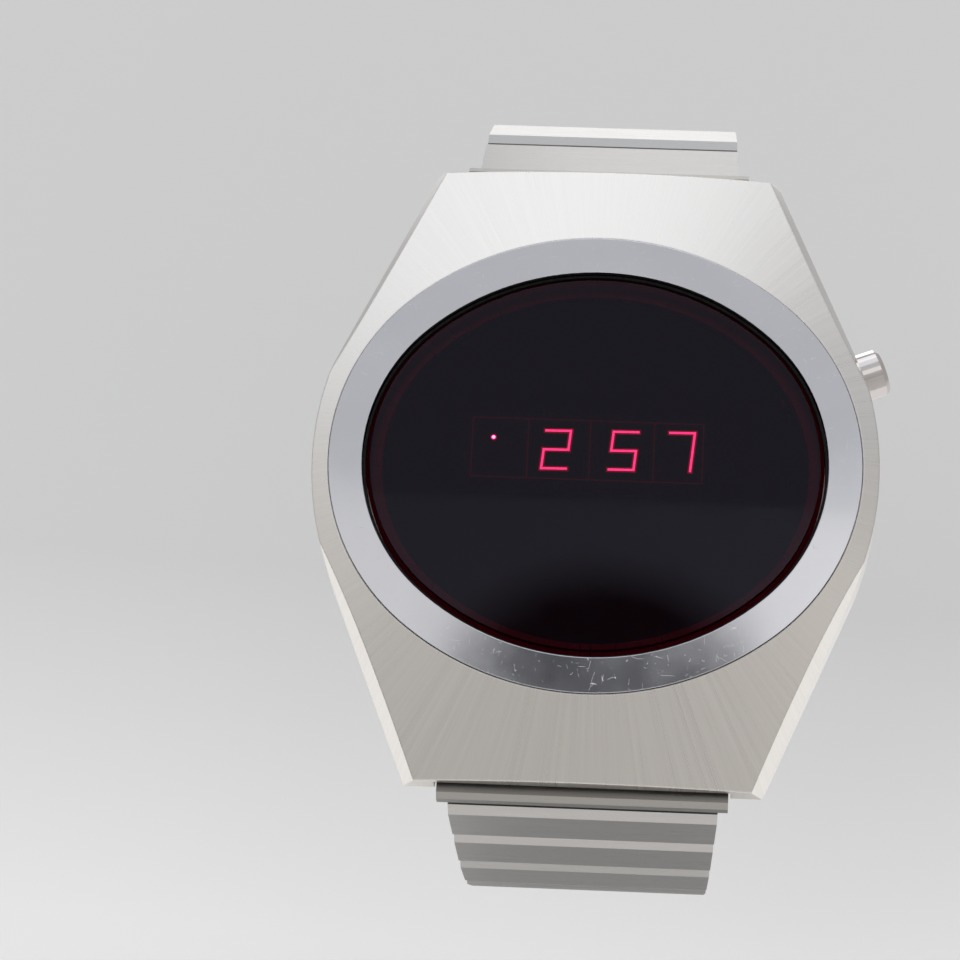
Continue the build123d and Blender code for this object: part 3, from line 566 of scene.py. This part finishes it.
def dot():
    """The single lit dot at the left, with a white core and a red glow."""
    layers = (
        ("lit_dot", dot_radius, stroke_floor, glowing("lit_dot_red", (1.0, 1.6, 2.0), 34.0)),
        ("dot_glow", dot_glow_radius, glow_floor, glowing("dot_glow_red", (1.0, 0.2, 0.4), 2.6)),
    )
    for name, radius, floor, material in layers:
        mesh = bmesh.new()
        middle = Matrix.Translation((*dot_place, floor))
        bmesh.ops.create_uvsphere(mesh, u_segments=16, v_segments=8, radius=radius, matrix=middle)
        flat = stroke_height / radius / 2
        bmesh.ops.scale(mesh, vec=(1, 1, flat), verts=mesh.verts, space=middle.inverted())
        piece = made(name, mesh, material, smooth=True)


def plane(name, half, material, level=0.0):
    """A level rectangle about its own middle, which isn't part of the watch."""
    mesh = bmesh.new()
    for x, y in ((-1, -1), (1, -1), (1, 1), (-1, 1)):
        mesh.verts.new((x * half[0], y * half[1], level))
    mesh.faces.new(mesh.verts)
    data = bpy.data.meshes.new(name)
    mesh.to_mesh(data)
    mesh.free()
    data.materials.append(material)
    flat = bpy.data.objects.new(name, data)
    bpy.context.scene.collection.objects.link(flat)
    return flat


def stage_floor():
    """A pale floor well under the bracelet, so that the clasp has room to open, with painted light
    and painted reflections in its glow.
    """
    material, tree, shader = new_material("floor_pale", floor_color, roughness=0.7)
    tinted(tree, shader, floor_color, noise(tree, place_in(tree), 12.0), 0.03)
    # painted light and painted reflections: the camera sees the floor a little paler towards the
    # front, and reflections alone see it bright beside the watch and far behind it, though nothing
    # there gives light
    rays = put(tree, "LightPath").outputs
    apart = parts_of(tree, place_in(tree))
    ahead = math_node(tree, "MULTIPLY_ADD", apart["X"], front_slant, apart["Y"])
    aside = math_node(tree, "ABSOLUTE", apart["X"])
    # painted reflections: bright patches behind and beside the watch, seen only by glossy and
    # transmission rays
    painted_reflections = [
        math_node(
            tree, "MULTIPLY", spread(tree, apart["Y"], *glow), spread(tree, aside, *width)
        )
        for glow, width in ((painted_reflection_behind, behind_width), (painted_reflection_beside, beside_width))
    ]
    mirrored = math_node(tree, "MAXIMUM", rays["Is Glossy Ray"], rays["Is Transmission Ray"])
    mirrored = math_node(tree, "MULTIPLY", mirrored, math_node(tree, "ADD", *painted_reflections))
    # painted light: the floor is paler towards the front for the camera alone
    seen = spread(tree, ahead, *painted_front_light)
    paler = math_node(tree, "MULTIPLY_ADD", rays["Is Camera Ray"], seen, mirrored)
    shader.inputs["Emission Color"].default_value = (1, 1, 1, 1)
    tree.links.new(paler, shader.inputs["Emission Strength"])
    floor = plane("floor", (floor_reach, floor_reach), material, floor_height)


def studio_card(name, middle, half, height, color, strength, soft_rim):
    """A card high above the watch, which only glossy reflections show: a painted reflection,
    bright or dark, that lights nothing.
    """
    material, tree, shader = new_material(name, (0, 0, 0), roughness=1.0)
    shader.inputs["Specular IOR Level"].default_value = 0.0
    shader.inputs["Emission Color"].default_value = (*color, 1)
    soft = noise(tree, place_in(tree), 9.0)
    apart = parts_of(tree, place_in(tree))
    across = spread(tree, apart["X"], *card_across)
    slant = math_node(tree, "MULTIPLY", across, spread(tree, apart["Y"], *card_along))
    glow = varied(tree, soft, strength * 0.95, strength * 1.05)
    tree.links.new(math_node(tree, "MULTIPLY", glow, slant), shader.inputs["Emission Strength"])
    if soft_rim:
        share = vector_node(tree, "MULTIPLY", place_in(tree), (1 / half[0], 1 / half[1], 0))
        out = put(tree, "VectorMath", {0: share}, operation="LENGTH").outputs["Value"]
        tree.links.new(spread(tree, out, 1 - soft_rim, 1.0, 1.0, 0.0), shader.inputs["Alpha"])
    card = plane(name, half, material)
    card.location = (*middle, height)
    card.visible_camera = False
    card.visible_diffuse = False
    card.visible_shadow = False
    card.visible_transmission = False


def soft_lamp(name, place, size, power, color):
    """A large soft lamp that looks at the watch."""
    data = bpy.data.lights.new(name, "AREA")
    data.shape = "RECTANGLE"
    data.size, data.size_y = size
    data.energy = power
    data.color = color
    lamp = bpy.data.objects.new(name, data)
    lamp.location = place
    lamp.rotation_euler = (-Vector(place)).to_track_quat("-Z", "Y").to_euler()
    bpy.context.scene.collection.objects.link(lamp)


def studio_world():
    """A pale world, a little warmer in front and cooler behind, and dimmer in front and aside."""
    world = bpy.data.worlds.new("studio")
    world.use_nodes = True
    tree = world.node_tree
    background = tree.nodes["Background"]
    ray = parts_of(tree, put(tree, "TexCoord").outputs["Generated"])
    behind = spread(tree, ray["Y"], *world_turn)
    color = between(tree, behind, world_front, world_back)
    tree.links.new(color, background.inputs["Color"])
    off = math_node(tree, "ABSOLUTE", math_node(tree, "ADD", ray["Y"], dim_front))
    far = spread(tree, math_node(tree, "ABSOLUTE", ray["Y"]), *far_glow)
    sides = spread(tree, math_node(tree, "ABSOLUTE", ray["X"]), *side_dimming)
    strength = math_node(tree, "ADD", spread(tree, off, *dim_glow), far)
    strength = math_node(tree, "SUBTRACT", strength, sides)
    tree.links.new(strength, background.inputs["Strength"])
    bpy.context.scene.world = world


def camera():
    """The photograph's camera, aimed so that the ring lands where it is there."""
    data = bpy.data.cameras.new("camera")
    data.lens = camera_lens
    data.sensor_width = camera_sensor
    data.clip_start = camera_clip
    view = bpy.data.objects.new("camera", data)
    bpy.context.scene.collection.objects.link(view)
    tilted = Vector((0, -sin(camera_tilt), cos(camera_tilt)))
    back = tilted * cos(camera_lean) + RIGHT * sin(camera_lean)
    right = RIGHT * cos(camera_lean) - tilted * sin(camera_lean)
    up = back.cross(right)
    rolled_right = right * cos(camera_roll) + up * sin(camera_roll)
    rolled_up = up * cos(camera_roll) - right * sin(camera_roll)
    turn = Matrix((rolled_right, rolled_up, back)).transposed()
    focal = camera_lens * image_size / camera_sensor
    aim = Vector((ring_pixel[0] - image_size / 2, image_size / 2 - ring_pixel[1], -focal))
    nudge = aim.rotation_difference(-UP).to_matrix()
    place = Matrix.Translation(UP * ring_top + back * camera_distance)
    view.matrix_world = place @ (turn @ nudge).to_4x4()
    bpy.context.scene.camera = view


finish_nodes()
return_spring()
frames()
digits()
dot()
stage_floor()
for card_name, card_values in cards.items():
    studio_card(card_name, *card_values)
studio_world()
for lamp_name, lamp_values in lamps.items():
    soft_lamp(lamp_name, *lamp_values)
camera()
bpy.context.scene.view_settings.view_transform = "Standard"
